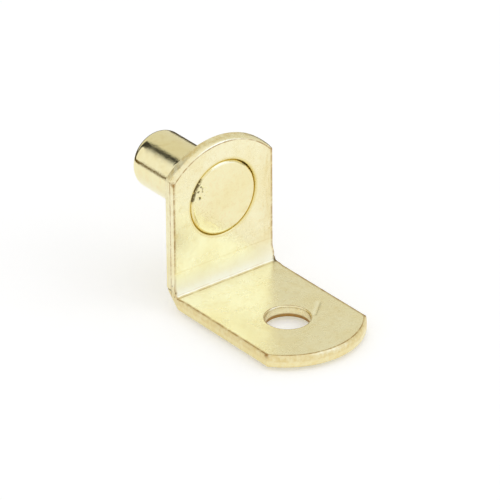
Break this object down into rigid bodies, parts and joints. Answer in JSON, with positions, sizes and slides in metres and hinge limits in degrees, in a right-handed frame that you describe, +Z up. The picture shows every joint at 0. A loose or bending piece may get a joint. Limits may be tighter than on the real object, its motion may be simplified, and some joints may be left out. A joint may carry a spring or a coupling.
{
  "type": "shelf support pin",
  "caption": "Shelf support: a bent sheet-metal angle with rounded leaf ends, a screw hole in the shelf leaf and a round pin riveted through the upright leaf.",
  "frame": {"origin": "on the pin's axis, in the back face of the upright leaf, which seats on the side of the cabinet", "axes": "+Y along the pin towards its free end, +Z up from the shelf leaf, +X across the leaf"},
  "size_m": [0.0102, 0.0232, 0.0133],
  "materials": {
    "plated_sheet": "pale brass plating on steel sheet, satin bright",
    "plated_pin": "pale brass plating on turned steel, bright"
  },
  "bodies": {
    "root": {"angle_bracket": "plated_sheet", "support_pin": "plated_pin"}
  },
  "joints": []
}
